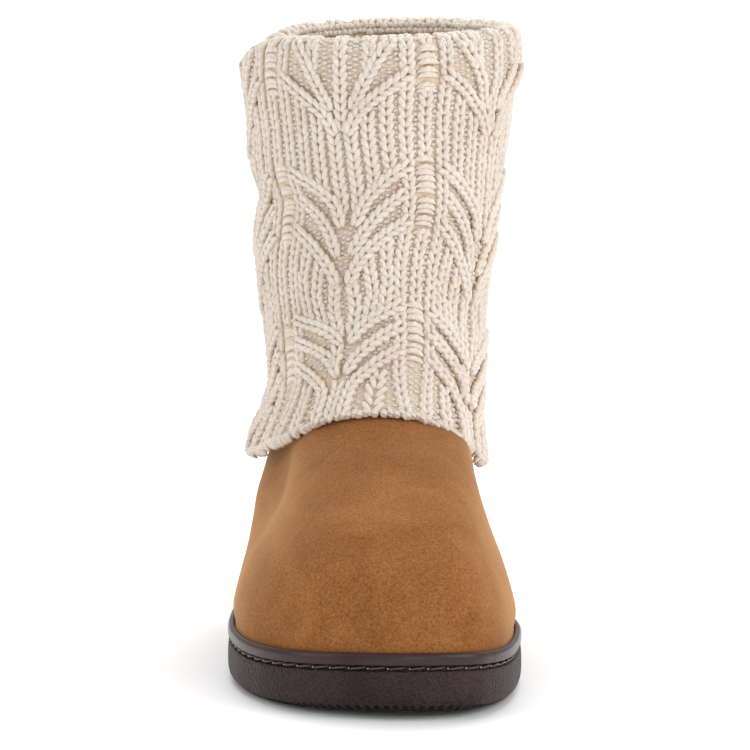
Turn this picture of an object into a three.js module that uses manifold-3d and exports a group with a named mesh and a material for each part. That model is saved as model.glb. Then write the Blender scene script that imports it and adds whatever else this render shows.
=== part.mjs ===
// A slipper boot for the right foot: a moulded cup sole, a foam insole, a suede foot and a knitted shaft.
// Millimetres. +Z is up, the toe points to -Y, the inner side of the foot is at +X,
// and the origin is on the floor under the middle of the sole.
import * as THREE from 'three';
import { mergeVertices } from 'three/addons/utils/BufferGeometryUtils.js';
import Module from 'manifold-3d';

// Driving dimensions
const SOLE_LENGTH = 264;
const BALL_WIDTH = 105;
const SOLE_THICKNESS = 20;
const HEEL_RAISE = 6.5;
const TOE_SPRING = 4;
const TOE_LIFT_START = 70;
const ARCH_RAISE = 1.8;
const HEEL_BEVEL = 1.6;
const HEEL_LIFT_START = 114;
const SHAFT_TOP = 226.4;
const HEM_FRONT = 89.5;
const HEM_SIDE = 62;
const HEM_BACK = 69;
const HEM_SWEEP = 3.4;
const ANKLE_Y = 62;
const SUEDE_WALL = 2.6;
const KNIT_WALL = 5;
const GAP = 0.35;

// How finely the round forms are divided
const SOLE_COLUMNS = 88;
const UPPER_COLUMNS = 44;
const SHAFT_COLUMNS = 84;
const OUTLINE_STEPS = 1600;

// Plan outline of the sole, in shares of its length and of the ball width: where each station lies
// behind the toe, and how far the sole reaches from the middle line to the outer and inner side.
const SOLE_STATIONS = [
  { back: 0.027, outer: 0.125, inner: 0.325 },
  { back: 0.064, outer: 0.262, inner: 0.392 },
  { back: 0.121, outer: 0.366, inner: 0.445 },
  { back: 0.197, outer: 0.446, inner: 0.478 },
  { back: 0.273, outer: 0.487, inner: 0.494 },
  { back: 0.330, outer: 0.5, inner: 0.494 },
  { back: 0.424, outer: 0.497, inner: 0.462 },
  { back: 0.538, outer: 0.468, inner: 0.408 },
  { back: 0.652, outer: 0.43, inner: 0.368 },
  { back: 0.765, outer: 0.402, inner: 0.344 },
  { back: 0.860, outer: 0.378, inner: 0.324 },
  { back: 0.936, outer: 0.3, inner: 0.257 },
  { back: 0.981, outer: 0.165, inner: 0.137 },
];
const TOE_APEX = 0.114;
const HEEL_APEX = -0.019;

// Side of the sole, from the tread up, over the lip and down into the cup. Each row is a ring:
// how far it lies inside the outline, what share of the wall it stands up, and its drop below the lip.
const LIP_HEIGHT = 4.3;
const CHANNEL_HEIGHT = 2;
const CHANNEL_DEPTH = 1.7;
const CUP_DEPTH = 4;
const LIP_WIDTH = 2.4;
const CHANNEL_FLOOR = LIP_HEIGHT + CHANNEL_HEIGHT;
const SOLE_SIDE = [
  { inset: 3.4, up: 0, drop: 0 },
  { inset: 1.3, up: 0.07, drop: 0 },
  { inset: 0.25, up: 0.27, drop: 0 },
  { inset: 0, up: 0.62, drop: 0 },
  { inset: 0.35, up: 1, drop: CHANNEL_FLOOR },
  { inset: CHANNEL_DEPTH, up: 1, drop: CHANNEL_FLOOR - 0.3 },
  { inset: CHANNEL_DEPTH, up: 1, drop: LIP_HEIGHT + 0.3 },
  { inset: 0.3, up: 1, drop: LIP_HEIGHT },
  { inset: 0, up: 1, drop: 2.2 },
  { inset: 0.6, up: 1, drop: 0.5 },
  { inset: 1.5, up: 1, drop: 0 },
  { inset: LIP_WIDTH, up: 1, drop: 0.5 },
  { inset: LIP_WIDTH, up: 1, drop: CUP_DEPTH },
];

// Tread: cross grooves over the forefoot and the heel, inside a plain border
const TREAD = { pitch: 9, width: 2.6, depth: 1.6, border: 9 };
const TREAD_FIELDS = [
  { from: -98, to: -22 },
  { from: 52, to: 112 },
];

// Edge of the insole: how far each ring lies inside the wall of the upper, and its rise over the cup's
// floor. The middle is dished to less than the edge.
const INSOLE_MIDDLE = 4.4;
const INSOLE_SIDE = [
  { extra: 0.5, rise: 0 },
  { extra: 0, rise: 0.8 },
  { extra: 0, rise: 4.6 },
  { extra: 1.2, rise: 5.4 },
];

// The suede foot, ring by ring from the sole to the ankle. front and back are the ends of the ring on
// the middle line, ball and heel are the shares of the sole's width kept there on the outer and inner
// side, and leg is how far the ring has turned from the outline of the foot to the oval of the leg.
const UPPER_RINGS = [
  { front: -127.5, frontZ: 41, back: 129.3, backZ: 44, ballOuter: 0.88, ballInner: 0.86,
    heelOuter: 0.985, heelInner: 0.96, leg: 0 },
  { front: -120, frontZ: 52.5, back: 127.5, backZ: 53, ballOuter: 0.765, ballInner: 0.78,
    heelOuter: 1, heelInner: 0.955, leg: 0.05 },
  { front: -103, frontZ: 62, back: 125, backZ: 60, ballOuter: 0.68, ballInner: 0.73,
    heelOuter: 0.99, heelInner: 0.945, leg: 0.16 },
  { front: -79, frontZ: 69.5, back: 122.5, backZ: 67, ballOuter: 0.635, ballInner: 0.705,
    heelOuter: 0.99, heelInner: 0.93, leg: 0.32 },
  { front: -52, frontZ: 76.5, back: 120, backZ: 74, ballOuter: 0.61, ballInner: 0.685,
    heelOuter: 0.96, heelInner: 0.92, leg: 0.52 },
  { front: -26, frontZ: 83, back: 117.5, backZ: 81, ballOuter: 0.61, ballInner: 0.675,
    heelOuter: 0.9, heelInner: 0.91, leg: 0.74 },
  { front: -5, frontZ: 90.5, back: 115, backZ: 88, ballOuter: 0.61, ballInner: 0.675,
    heelOuter: 0.84, heelInner: 0.9, leg: 0.92 },
  { front: 7.5, frontZ: 99, back: 112.5, backZ: 95, ballOuter: 0.61, ballInner: 0.675,
    heelOuter: 0.8, heelInner: 0.9, leg: 1 },
  { front: 12, frontZ: 107, back: 111.5, backZ: 103, ballOuter: 0.61, ballInner: 0.675,
    heelOuter: 0.8, heelInner: 0.9, leg: 1 },
];
const UPPER_ROWS = UPPER_RINGS.map((ring, row) => ({ row, ...ring }));
const UPPER_STEPS = 2;

// The ankle's oval, and the rings below the table: the edge that stands in the cup, the suede at the
// lip, and the swell just over it, each with its rise over the lip and its inset from the outline
const ANKLE = { outer: 32.5, inner: 34 };
const FOOT_RINGS = [
  { rise: -CUP_DEPTH + GAP, inset: LIP_WIDTH + GAP },
  { rise: 0.3, inset: LIP_WIDTH + GAP - 0.1 },
  { rise: 7, inset: 2.1 },
];

// The knitted shaft, section by section: its reach from the ankle's middle to each side at that height
const SHAFT_SECTIONS = [
  { z: 62, outer: 47, inner: 41.5, front: 78, back: 68 },
  { z: 68, outer: 47.5, inner: 41.8, front: 77, back: 67 },
  { z: 74, outer: 46, inner: 41.4, front: 76, back: 64 },
  { z: 82, outer: 42.4, inner: 40.5, front: 74, back: 60.5 },
  { z: 90, outer: 39.6, inner: 40.2, front: 74, back: 58 },
  { z: 98, outer: 39, inner: 40.8, front: 68.5, back: 56.5 },
  { z: 108, outer: 40.8, inner: 41.5, front: 62.5, back: 55.5 },
  { z: 122, outer: 42, inner: 41.8, front: 57, back: 55.5 },
  { z: 140, outer: 44.2, inner: 43.9, front: 54.5, back: 57 },
  { z: 155, outer: 43.6, inner: 46, front: 53, back: 58 },
  { z: 163, outer: 43, inner: 46.8, front: 52, back: 58 },
  { z: 173, outer: 46, inner: 47.9, front: 52.5, back: 58.5 },
  { z: 188, outer: 46.8, inner: 50.3, front: 53, back: 59 },
  { z: 200, outer: 48.7, inner: 51.6, front: 53.6, back: 59.4 },
  { z: 210, outer: 50, inner: 54.4, front: 54.6, back: 60.4 },
  { z: 220, outer: 49.4, inner: 54.2, front: 54.6, back: 60.4 },
  { z: 230, outer: 48.6, inner: 53.2, front: 54, back: 60 },
];

// The rim is highest at the inner side towards the front, tilts down to the other side, and sags in a
// short dip at the outer side. Round the vamp the hem is squarer than an oval, and upright ribs run up
// from it over a share of the height. Turns are in degrees from the front, inner side positive.
const RIM_HIGH_TURN = 60;
const RIM_TILT = 2.8;
const RIM_DIP_TURN = -95;
const RIM_DIP = 9.5;
const RIM_DIP_SHARPNESS = 16;
const HEM_SQUARENESS = 0.68;
const RIB_COUNT = 28;
const RIB_DEPTH = 0.9;
const RIB_SHARE = 0.2;
const FOLD_WALL = 9.5;

// The wall of the shaft, up the outside, over the folded rim and down the inside:
// what share of the height a ring stands at, and how far it lies inside the outer surface.
const SHAFT_WALL = [
  { share: 0, depth: 2.1 },
  { share: 0.012, depth: 0.4 },
  { share: 0.045, depth: 0 },
  { share: 0.09, depth: 0 },
  { share: 0.145, depth: 0 },
  { share: 0.2, depth: 0 },
  { share: 0.27, depth: 0 },
  { share: 0.35, depth: 0 },
  { share: 0.44, depth: 0 },
  { share: 0.53, depth: 0 },
  { share: 0.6, depth: 0 },
  { share: 0.66, depth: 0 },
  { share: 0.76, depth: 0 },
  { share: 0.9, depth: 0 },
  { share: 0.972, depth: 1 },
  { share: 0.993, depth: 2.8 },
  { share: 1, depth: FOLD_WALL / 2 },
  { share: 0.993, depth: FOLD_WALL - 2.6 },
  { share: 0.965, depth: FOLD_WALL },
  { share: 0.8, depth: FOLD_WALL },
  { share: 0.77, depth: KNIT_WALL },
  { share: 0.4, depth: KNIT_WALL },
  { share: 0.1, depth: 4.4 },
  { share: 0.03, depth: 4.1 },
];

const { clamp, degToRad, mapLinear, smoothstep, lerp } = THREE.MathUtils;

// A smooth value between the rows of a table, read at one column and asked for at another
function readTable(rows, key, at, column) {
  const last = rows.length - 1;
  let row = 0;
  while (row < last - 1 && rows[row + 1][key] < at) row += 1;
  const rise = rows[row + 1][key] - rows[row][key];
  const share = clamp((at - rows[row][key]) / rise, 0, 1);
  const before = rows[Math.max(row - 1, 0)];
  const after = rows[Math.min(row + 2, last)];
  const slopeIn = (rows[row + 1][column] - before[column]) / (rows[row + 1][key] - before[key]);
  const slopeOut = (after[column] - rows[row][column]) / (after[key] - rows[row][key]);
  const s2 = share * share;
  const s3 = s2 * share;
  return (2 * s3 - 3 * s2 + 1) * rows[row][column] + (s3 - 2 * s2 + share) * rise * slopeIn
    + (3 * s2 - 2 * s3) * rows[row + 1][column] + (s3 - s2) * rise * slopeOut;
}

// The outline of the sole as one smooth closed curve: toe, inner side, heel, outer side
function soleCurve() {
  const half = SOLE_LENGTH / 2;
  const place = (reach, back) => new THREE.Vector3(reach * BALL_WIDTH, back * SOLE_LENGTH - half, 0);
  const inner = SOLE_STATIONS.map((station) => place(station.inner, station.back));
  const outer = SOLE_STATIONS.map((station) => place(-station.outer, station.back));
  const toe = place(TOE_APEX, 0);
  const heel = place(HEEL_APEX, 1);
  const points = [toe, ...inner, heel, ...outer.reverse()];
  const curve = new THREE.CatmullRomCurve3(points, true, 'centripetal');
  return { curve, heelShare: points.indexOf(heel) / points.length };
}

// Points round the outline with their outward normals. Column 0 is the toe, the middle column is the heel,
// and the columns on the two sides are spaced evenly from toe to heel.
function outlinePoints(columns) {
  const { curve, heelShare } = soleCurve();
  const sides = [[0, heelShare], [heelShare, 1]];
  const points = sides.flatMap(([from, to]) => {
    const pointAt = (_, i) => curve.getPoint(lerp(from, to, i / OUTLINE_STEPS));
    const fine = Array.from({ length: OUTLINE_STEPS + 1 }, pointAt);
    const lengths = [0];
    for (let i = 1; i < fine.length; i += 1) lengths.push(lengths[i - 1] + fine[i].distanceTo(fine[i - 1]));
    const picks = [];
    for (let i = 0, k = 0; k < columns / 2; k += 1) {
      while (lengths[i] < (lengths[OUTLINE_STEPS] * k) / (columns / 2)) i += 1;
      picks.push(fine[i]);
    }
    return picks;
  });
  return points.map((point, i) => {
    const ahead = points[(i + 1) % columns];
    const behind = points[(i + columns - 1) % columns];
    const tangent = ahead.clone().sub(behind).normalize();
    return { x: point.x, y: point.y, nx: tangent.y, ny: -tangent.x };
  });
}

// Underside of the sole along its length: it lies flat under the ball and the heel, and lifts
// at the toe, under the arch and a little at the very back
function toeLift(y) {
  return TOE_SPRING * Math.max(0, (-y - TOE_LIFT_START) / (SOLE_LENGTH / 2 - TOE_LIFT_START)) ** 2;
}

function soleBase(y) {
  const arch = ARCH_RAISE * smoothstep(y, -14, 14) * (1 - smoothstep(y, 20, 46));
  const heel = HEEL_BEVEL * Math.max(0, (y - HEEL_LIFT_START) / (SOLE_LENGTH / 2 - HEEL_LIFT_START)) ** 2;
  return toeLift(y) + arch + heel;
}

// Lip line of the sole along its length
function soleTop(y) {
  return SOLE_THICKNESS + toeLift(y) + HEEL_RAISE * smoothstep(y, -30, 95);
}

// A closed solid from rings of equal length: rings join in order, and the last joins the first
// when the loop is closed, or each end is closed along the middle line between its two sides.
function solidFromRings(rings, closedLoop) {
  const columns = rings[0].length;
  const positions = rings.flat().flatMap((p) => [p.x, p.y, p.z]);
  const index = [];
  const bands = closedLoop ? rings.length : rings.length - 1;
  for (let r = 0; r < bands; r += 1) {
    const upper = ((r + 1) % rings.length) * columns;
    for (let c = 0; c < columns; c += 1) {
      const a = r * columns + c;
      const b = r * columns + ((c + 1) % columns);
      const d = upper + c;
      const e = upper + ((c + 1) % columns);
      index.push(a, b, e, a, e, d);
    }
  }
  const geometry = new THREE.BufferGeometry();
  geometry.setAttribute('position', new THREE.Float32BufferAttribute(positions, 3));
  geometry.setIndex(index);
  return geometry;
}

// Rings that close a flat end: they shrink to the middle line between the inner and outer side,
// which stops short of both ends
function closingRings(edge, shares, height) {
  const columns = edge.length;
  const stop = 22;
  return shares.map((share) => edge.map((point, i) => {
    const twin = edge[(columns - i) % columns];
    const alongY = clamp((point.y + twin.y) / 2, edge[0].y + stop, edge[columns / 2].y - stop);
    const middleX = (point.x + twin.x) / 2;
    const x = lerp(point.x, middleX, share);
    const y = lerp(point.y, alongY, share);
    return new THREE.Vector3(x, y, height(y));
  }));
}

const wasm = await Module();
wasm.setup();

// A closed mesh as a solid that can be cut, and back. Triangles without area are left out.
function toManifold(geometry) {
  const bare = new THREE.BufferGeometry();
  bare.setAttribute('position', geometry.getAttribute('position').clone());
  if (geometry.index) bare.setIndex(geometry.index.clone());
  const merged = mergeVertices(bare, 1e-4);
  const triangles = [];
  const ids = merged.index.array;
  for (let i = 0; i < ids.length; i += 3) {
    const [a, b, c] = [ids[i], ids[i + 1], ids[i + 2]];
    if (a !== b && b !== c && c !== a) triangles.push(a, b, c);
  }
  return new wasm.Manifold(new wasm.Mesh({
    numProp: 3,
    vertProperties: new Float32Array(merged.getAttribute('position').array),
    triVerts: new Uint32Array(triangles),
  }));
}

function toGeometry(solid) {
  const mesh = solid.getMesh();
  const geometry = new THREE.BufferGeometry();
  geometry.setAttribute('position', new THREE.BufferAttribute(new Float32Array(mesh.vertProperties), 3));
  geometry.setIndex(new THREE.BufferAttribute(new Uint32Array(mesh.triVerts), 1));
  return geometry;
}

// Outsole: the ringed side, closed below by the tread and inside the lip by the floor of the cup
function outsole() {
  const outline = outlinePoints(SOLE_COLUMNS);
  const side = SOLE_SIDE.map(({ inset, up, drop }) => outline.map(({ x, y, nx, ny }) => {
    const px = x - nx * inset;
    const py = y - ny * inset;
    const wallTop = soleTop(y) - CHANNEL_FLOOR;
    const z = drop > 0 || up === 1 ? soleTop(y) - drop : lerp(soleBase(y), wallTop, up);
    return new THREE.Vector3(px, py, z);
  }));
  const tread = closingRings(side[0], [1, 0.66, 0.3], soleBase);
  const floor = closingRings(side[side.length - 1], [0.4, 1], (y) => soleTop(y) - CUP_DEPTH);
  let solid = toManifold(solidFromRings([...tread, ...side, ...floor], false));
  TREAD_FIELDS.forEach(({ from, to }) => {
    const count = Math.floor((to - from) / TREAD.pitch);
    for (let i = 0; i <= count; i += 1) {
      const y = from + (i * (to - from)) / count;
      const ends = outline.filter((p) => Math.abs(p.y - y) < TREAD.pitch).map((p) => p.x);
      const left = Math.min(...ends) + TREAD.border;
      const right = Math.max(...ends) - TREAD.border;
      const groove = new THREE.BoxGeometry(right - left, TREAD.width, TREAD.depth * 2);
      groove.translate((left + right) / 2, y, soleBase(y));
      solid = solid.subtract(toManifold(groove));
    }
  });
  return toGeometry(solid);
}

// Insole: a foam footbed on the floor of the cup, inside the foot of the suede, a little dished
function insole() {
  const outline = outlinePoints(UPPER_COLUMNS);
  const inset = LIP_WIDTH + GAP + SUEDE_WALL + 1.5 * GAP;
  const floor = (y) => soleTop(y) - CUP_DEPTH + GAP;
  const side = INSOLE_SIDE.map(({ extra, rise }) => outline.map(({ x, y, nx, ny }) => (
    new THREE.Vector3(x - nx * (inset + extra), y - ny * (inset + extra), floor(y) + rise)
  )));
  const under = closingRings(side[0], [1, 0.5], floor);
  const top = closingRings(side[side.length - 1], [0.35, 1], (y) => floor(y) + INSOLE_MIDDLE);
  return solidFromRings([...under, ...side, ...top], false);
}

// One ring of the suede foot above the sole, at a place between the rows of the table
function upperRing(outline, at) {
  const value = (column) => readTable(UPPER_ROWS, 'row', at, column);
  const [front, back, frontZ, backZ, leg] = ['front', 'back', 'frontZ', 'backZ', 'leg'].map(value);
  const toe = outline[0].y;
  const heel = outline[UPPER_COLUMNS / 2].y;
  return outline.map(({ x, y }, i) => {
    const footAlong = mapLinear(y, toe, heel, 0, 1);
    const turn = (2 * Math.PI * i) / UPPER_COLUMNS;
    const side = x > 0 ? 'Inner' : 'Outer';
    const share = lerp(value(`ball${side}`), value(`heel${side}`), smoothstep(footAlong, 0.35, 0.7));
    const middleX = lerp(outline[0].x, outline[UPPER_COLUMNS / 2].x, footAlong);
    const footX = middleX + (x - middleX) * share;
    const ovalX = (Math.sin(turn) > 0 ? ANKLE.inner : ANKLE.outer) * Math.sin(turn);
    const along = lerp(footAlong, (1 - Math.cos(turn)) / 2, leg);
    return new THREE.Vector3(lerp(footX, ovalX, leg), lerp(front, back, along), lerp(frontZ, backZ, along));
  });
}

// Every ring of the outer surface of the suede foot, from its edge in the cup to its top edge
function upperSurface() {
  const outline = outlinePoints(UPPER_COLUMNS);
  const foot = FOOT_RINGS.map(({ rise, inset }) => outline.map(({ x, y, nx, ny }) => (
    new THREE.Vector3(x - nx * inset, y - ny * inset, soleTop(y) + rise)
  )));
  const rings = (UPPER_RINGS.length - 1) * UPPER_STEPS;
  const body = Array.from({ length: rings + 1 }, (_, k) => upperRing(outline, k / UPPER_STEPS));
  return [...foot, ...body];
}

// Rings moved along the surface's own normals, inwards for a positive distance. The first two stand
// upright in the cup, so they move level.
function offsetRings(rings, distance) {
  const columns = rings[0].length;
  return rings.map((ring, r) => ring.map((point, c) => {
    const below = rings[Math.max(r - 1, 0)][c];
    const above = rings[Math.min(r + 1, rings.length - 1)][c];
    const ahead = ring[(c + 1) % columns];
    const behind = ring[(c + columns - 1) % columns];
    const normal = ahead.clone().sub(behind).cross(above.clone().sub(below)).normalize();
    if (r === 0 || r === 1) normal.setZ(0).normalize();
    return point.clone().addScaledVector(normal, -distance);
  }));
}

// Upper: one hollow wall, open underneath and at the ankle
function upper() {
  const outer = upperSurface();
  const inner = offsetRings(outer, SUEDE_WALL).reverse();
  return solidFromRings([...outer, ...inner], true);
}

// Height of the hem and of the folded rim round the shaft, by the turn from the front
function hemHeight(turn) {
  const toFront = (1 + Math.cos(turn)) / 2;
  const frontRise = (HEM_FRONT - HEM_SIDE) * toFront ** HEM_SWEEP;
  const backRise = (HEM_BACK - HEM_SIDE) * (1 - toFront) ** 2;
  return HEM_SIDE + frontRise + backRise;
}

function rimHeight(turn) {
  const toHigh = (1 + Math.cos(turn - degToRad(RIM_HIGH_TURN))) / 2;
  const toDip = (1 + Math.cos(turn - degToRad(RIM_DIP_TURN))) / 2;
  return SHAFT_TOP - RIM_TILT * (1 - toHigh) - RIM_DIP * toDip ** RIM_DIP_SHARPNESS;
}

// A point of the shaft: an oval with its own reach to each side, ribbed above the hem
function shaftPoint(turn, share, depth) {
  const z = lerp(hemHeight(turn), rimHeight(turn), share);
  const reach = (column) => readTable(SHAFT_SECTIONS, 'z', z, column);
  const ribs = RIB_DEPTH * (1 - smoothstep(share, 0.02, RIB_SHARE)) * Math.cos(turn * RIB_COUNT);
  const inwards = depth - (depth < KNIT_WALL / 2 ? ribs : 0);
  const sideReach = reach(Math.sin(turn) > 0 ? 'inner' : 'outer') - inwards;
  const endReach = reach(Math.cos(turn) > 0 ? 'front' : 'back') - inwards;
  const square = Math.cos(turn) > 0 ? lerp(HEM_SQUARENESS, 1, smoothstep(z, 78, 112)) : 1;
  const across = Math.sign(Math.sin(turn)) * Math.abs(Math.sin(turn)) ** square;
  const along = Math.sign(Math.cos(turn)) * Math.abs(Math.cos(turn)) ** square;
  return new THREE.Vector3(sideReach * across, ANKLE_Y - endReach * along, z);
}

// The shaft is trimmed inside the hem by the form of the foot, so it lies on the suede with a small gap
function shaft() {
  const rings = SHAFT_WALL.map(({ share, depth }) => Array.from({ length: SHAFT_COLUMNS }, (_, i) => (
    shaftPoint((2 * Math.PI * i) / SHAFT_COLUMNS, share, depth)
  )));
  const foot = offsetRings(upperSurface(), -GAP);
  const ankleTop = foot[foot.length - 1];
  const over = closingRings(ankleTop, [1], () => ankleTop[UPPER_COLUMNS / 4].z);
  const under = closingRings(foot[0], [1], soleTop);
  const footForm = toManifold(solidFromRings([...under, ...foot, ...over], false));
  return toGeometry(toManifold(solidFromRings(rings, true)).subtract(footForm));
}

const MATERIALS = {
  rubber: new THREE.MeshStandardMaterial({ color: 0x43342f, roughness: 0.55, metalness: 0 }),
  foam: new THREE.MeshStandardMaterial({ color: 0xd9cbb6, roughness: 0.95, metalness: 0 }),
  suede: new THREE.MeshStandardMaterial({ color: 0xb5773f, roughness: 0.92, metalness: 0 }),
  knit: new THREE.MeshStandardMaterial({ color: 0xe9dfd2, roughness: 0.95, metalness: 0 }),
};

// A named sub-part
function piece(name, geometry, material) {
  const mesh = new THREE.Mesh(geometry, material);
  mesh.name = name;
  return mesh;
}

const boot = new THREE.Group();
boot.add(
  piece('outsole', outsole(), MATERIALS.rubber),
  piece('insole', insole(), MATERIALS.foam),
  piece('upper', upper(), MATERIALS.suede),
  piece('shaft', shaft(), MATERIALS.knit),
);

export default boot;
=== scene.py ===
"""A slipper boot for the right foot: brown cup sole, tan suede foot and a cream knitted shaft.

Metres. +Z is up, the toe points to -Y and the inner side of the foot is at +X.
"""

import math

import bmesh
import bpy
import numpy as np
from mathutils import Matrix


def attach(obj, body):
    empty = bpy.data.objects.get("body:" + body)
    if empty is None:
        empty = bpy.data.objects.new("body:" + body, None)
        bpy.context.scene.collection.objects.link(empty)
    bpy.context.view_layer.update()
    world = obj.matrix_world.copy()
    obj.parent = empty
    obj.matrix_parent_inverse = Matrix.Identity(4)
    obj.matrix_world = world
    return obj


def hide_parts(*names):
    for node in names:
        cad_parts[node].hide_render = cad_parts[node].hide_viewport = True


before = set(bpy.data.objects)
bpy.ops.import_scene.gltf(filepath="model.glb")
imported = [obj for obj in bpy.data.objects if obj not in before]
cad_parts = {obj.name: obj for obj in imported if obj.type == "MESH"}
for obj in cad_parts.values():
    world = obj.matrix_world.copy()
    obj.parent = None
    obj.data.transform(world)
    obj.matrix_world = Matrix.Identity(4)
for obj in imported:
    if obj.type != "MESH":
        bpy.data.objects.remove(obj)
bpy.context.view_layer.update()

# The camera stands low in front of the toe and looks down a little through a long lens, so the boot
# is seen from the front with its cuff open by a sliver.
CAMERA_PLACE = (0.0, -2.2, 0.395)
CAMERA_TILT = math.radians(7.56)
camera_data = bpy.data.cameras.new("camera")
camera_data.lens = 293.76
camera_data.sensor_width = 36.0
camera_data.clip_end = 50.0
camera = bpy.data.objects.new("camera", camera_data)
camera.location = CAMERA_PLACE
camera.rotation_euler = (math.pi / 2 - CAMERA_TILT, 0.0, 0.0)
bpy.context.scene.collection.objects.link(camera)
bpy.context.scene.camera = camera
bpy.context.scene.view_settings.view_transform = "Standard"

# The studio: a plain white floor, a large soft light at the right, weaker ones at the left and in
# front, one over and behind the boot, and an even white surround that keeps the shadows pale.


def finish_nodes(name):
    """A new material with its Principled shader: returns the material, its node tree and the shader."""
    material = bpy.data.materials.new(name)
    material.use_nodes = True
    return material, material.node_tree, material.node_tree.nodes["Principled BSDF"]


def set_inputs(node, values):
    """Sets a node's inputs: values maps the name of each input to what it holds."""
    for name, value in values.items():
        node.inputs[name].default_value = value


def soft_light(name, place, aim, size, power):
    """A square area light at one place, turned so that it shines at another."""
    data = bpy.data.lights.new(name, "AREA")
    data.shape = "SQUARE"
    data.size = size
    data.energy = power
    lamp = bpy.data.objects.new(name, data)
    lamp.location = place
    ahead = np.array(aim) - np.array(place)
    flat = math.hypot(ahead[0], ahead[1])
    lamp.rotation_euler = (math.atan2(flat, -ahead[2]), 0.0, math.atan2(-ahead[0], ahead[1]))
    bpy.context.scene.collection.objects.link(lamp)


soft_light("right_light", (3.4, -1.6, 2.4), (0.0, 0.0, 0.1), 3.0, 91.0)
soft_light("left_light", (-3.4, -0.9, 1.9), (0.0, 0.0, 0.1), 3.0, 45.0)
soft_light("front_light", (0.5, -3.6, 1.3), (0.0, 0.0, 0.12), 2.4, 34.0)
soft_light("top_light", (0.0, 2.6, 3.4), (0.0, 0.6, 0.0), 4.0, 185.0)

world = bpy.data.worlds.new("surround")
world.use_nodes = True
set_inputs(world.node_tree.nodes["Background"], {"Color": (1.0, 1.0, 1.0, 1.0), "Strength": 0.50})
bpy.context.scene.world = world

floor_mesh = bpy.data.meshes.new("floor")
floor_mesh.from_pydata([(-7, -6, 0), (7, -6, 0), (7, 9, 0), (-7, 9, 0)], [], [(0, 1, 2, 3)])
floor = bpy.data.objects.new("floor", floor_mesh)
bpy.context.scene.collection.objects.link(floor)
floor_finish, _, floor_shader = finish_nodes("floor_white")
set_inputs(floor_shader, {"Base Color": (0.93, 0.93, 0.93, 1.0), "Roughness": 0.9})
floor_mesh.materials.append(floor_finish)

# Cup sole: one injection-moulded piece of dark brown rubber. It has a rounded lip, a sewing channel
# under the lip, a leather-grained wall, a toothed lower edge and cross grooves in the tread.
SOLE_LENGTH, BALL_WIDTH, SOLE_THICKNESS = 0.264, 0.105, 0.020
TOE_SPRING, TOE_LIFT_START = 0.004, 0.07
HEEL_RAISE, HEEL_BEVEL, HEEL_LIFT_START = 0.0065, 0.0016, 0.114
ARCH_RAISE = 0.0018
LIP_HEIGHT, CHANNEL_HEIGHT = 0.0043, 0.002
CHANNEL_FLOOR = LIP_HEIGHT + CHANNEL_HEIGHT
CUP_DEPTH, LIP_WIDTH, GAP = 0.004, 0.0024, 0.00035
EDGE_ROUNDING, EDGE_SHARE = 0.0046, 0.62
TOOTH_PITCH, TOOTH_HEIGHT, TOOTH_SLOPE = 0.0036, 0.0020, 0.3
GROOVE_DEPTH, GROOVE_BORDER = 0.0016, 0.009
# Grooves of the forefoot and of the heel: where the first one lies, their pitch and their number
GROOVE_FIELDS = ((-0.098, 0.0095, 9), (0.052, 0.010, 7))
SOLE_COLUMNS = 880
# Behind the toe (share of length), then the reach to the outer and inner side (shares of ball width)
SOLE_STATIONS = np.array([
    (0.027, 0.125, 0.325), (0.064, 0.262, 0.392), (0.121, 0.366, 0.445), (0.197, 0.446, 0.478),
    (0.273, 0.487, 0.494), (0.330, 0.5, 0.494), (0.424, 0.497, 0.462), (0.538, 0.468, 0.408),
    (0.652, 0.43, 0.368), (0.765, 0.402, 0.344), (0.860, 0.378, 0.324), (0.936, 0.3, 0.257),
    (0.981, 0.165, 0.137),
])
TOE_APEX, HEEL_APEX = 0.114, -0.019


def ease(value, low, high):
    """0 below low, 1 above high, and 3t2 - 2t3 between them."""
    t = np.clip((value - low) / (high - low), 0, 1)
    return t * t * (3 - 2 * t)


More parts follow.
